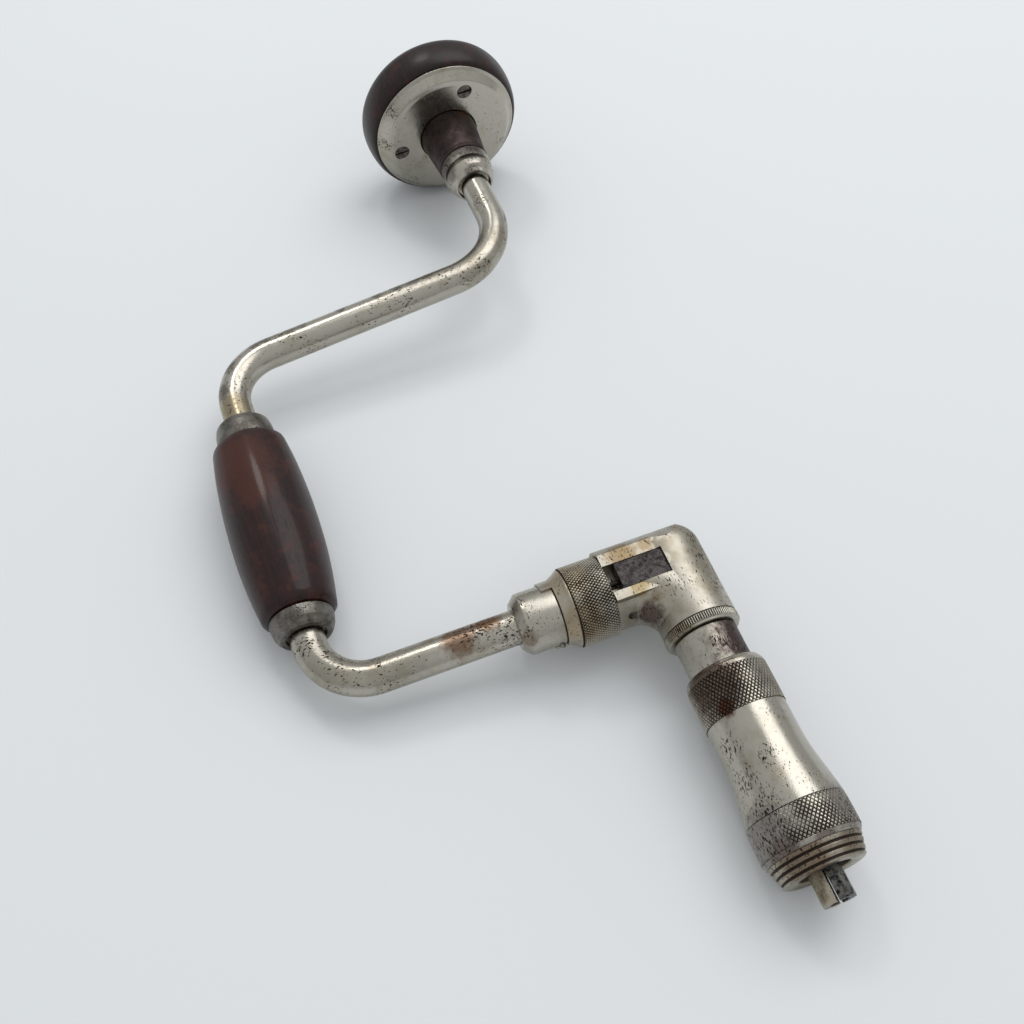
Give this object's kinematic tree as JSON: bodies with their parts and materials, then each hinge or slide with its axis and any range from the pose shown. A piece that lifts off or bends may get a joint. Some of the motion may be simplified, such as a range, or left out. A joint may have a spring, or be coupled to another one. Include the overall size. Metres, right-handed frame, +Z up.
{
  "type": "bit brace",
  "caption": "Hand-cranked bit brace: ball-bearing wooden head, bent steel crank with wooden grip, elbow ratchet with selector ring, and a screw chuck with two jaws.",
  "frame": {"origin": "centre of the bounding box's base, on the floor that the brace lies on", "axes": "+X from the head towards the chuck, +Z up from the floor, the grip to -Y; the brace lies on head, grip and chuck, so its own axis dips 3 degrees towards the chuck and its crank plane 4 degrees towards the grip"},
  "size_m": [0.393, 0.179, 0.0716],
  "materials": {
    "head_wood": "dark reddish brown stained and varnished hardwood, semi-gloss",
    "grip_wood": "dark stained hardwood polished by hands",
    "nickel_plate": "old nickel plate on steel, satin, pitted",
    "worn_steel": "worn steel with brown patina",
    "dark_steel": "dark oxidised steel",
    "bare_steel": "bare steel"
  },
  "bodies": {
    "base": {"frame": "nickel_plate", "head_nut": "bare_steel", "quill_collar": "nickel_plate", "upper_ferrule": "worn_steel", "lower_ferrule": "worn_steel", "arm_boss": "nickel_plate", "stop_pin": "bare_steel", "ratchet_housing": "nickel_plate", "housing_rivet": "bare_steel", "bearing_cap": "nickel_plate", "pawl_spring_front": "bare_steel", "pawl_spring_rear": "bare_steel"},
    "head": {"head_knob": "head_wood", "head_plate": "nickel_plate", "head_plate_screws": "bare_steel", "quill_sleeve": "dark_steel", "head_bearing_balls": "bare_steel"},
    "grip": {"handle_grip": "grip_wood"},
    "selector": {"selector_ring": "worn_steel"},
    "front_pawl": {"pawl_front": "dark_steel"},
    "rear_pawl": {"pawl_rear": "dark_steel"},
    "spindle": {"spindle": "worn_steel", "ratchet_wheel": "dark_steel", "jaw_spring": "bare_steel"},
    "nose": {"nose_ring": "nickel_plate"},
    "shell": {"chuck_shell": "nickel_plate"},
    "first_jaw": {"jaw_a": "dark_steel"},
    "second_jaw": {"jaw_b": "dark_steel"}
  },
  "joints": [
    {"name": "head_spin", "type": "hinge", "parent": "base", "child": "head", "pos_m": [-0.14522, 0.05372, 0.03387], "axis": [0.9986, 0, -0.0526], "continuous": true},
    {"name": "grip_spin", "type": "hinge", "parent": "base", "child": "grip", "pos_m": [0.00675, -0.07296, 0.01689], "axis": [0.9986, 0, -0.0526], "continuous": true},
    {"name": "selector_turn", "type": "hinge", "parent": "base", "child": "selector", "pos_m": [0.07605, 0.0218, 0.01996], "axis": [0.0037, 0.9975, 0.0705], "range_deg": [0, 120]},
    {"name": "front_pawl_slide", "type": "slide", "parent": "base", "child": "front_pawl", "axis": [-0.0037, -0.9975, -0.0705], "range_m": [0, 0.003], "deforming": ["pawl_spring_front"]},
    {"name": "rear_pawl_slide", "type": "slide", "parent": "base", "child": "rear_pawl", "axis": [0.0037, 0.9975, 0.0705], "range_m": [0, 0.003], "deforming": ["pawl_spring_rear"]},
    {"name": "spindle_spin", "type": "hinge", "parent": "base", "child": "spindle", "pos_m": [0.07617, 0.05372, 0.02221], "axis": [0.9986, 0, -0.0526], "continuous": true},
    {"name": "nose_slide", "type": "slide", "parent": "spindle", "child": "nose", "axis": [0.9986, 0, -0.0526], "range_m": [0, 0.005]},
    {"name": "shell_turn", "type": "hinge", "parent": "nose", "child": "shell", "pos_m": [0.14677, 0.05372, 0.01849], "axis": [0.9986, 0, -0.0526], "range_deg": [0, 720]},
    {"name": "first_jaw_slide", "type": "slide", "parent": "spindle", "child": "first_jaw", "axis": [0.0214, 0.9132, 0.407], "range_m": [0, 0.002]},
    {"name": "second_jaw_slide", "type": "slide", "parent": "spindle", "child": "second_jaw", "axis": [-0.0214, -0.9132, -0.407], "range_m": [0, 0.002]}
  ],
  "couplings": [
    {"joint": "selector_turn", "follows": "front_pawl_slide", "rad_per_m": 698.13},
    {"joint": "rear_pawl_slide", "follows": "front_pawl_slide", "ratio": 1},
    {"joint": "shell_turn", "follows": "nose_slide", "rad_per_m": 2513.3},
    {"joint": "first_jaw_slide", "follows": "nose_slide", "ratio": 0.4},
    {"joint": "second_jaw_slide", "follows": "nose_slide", "ratio": 0.4}
  ]
}
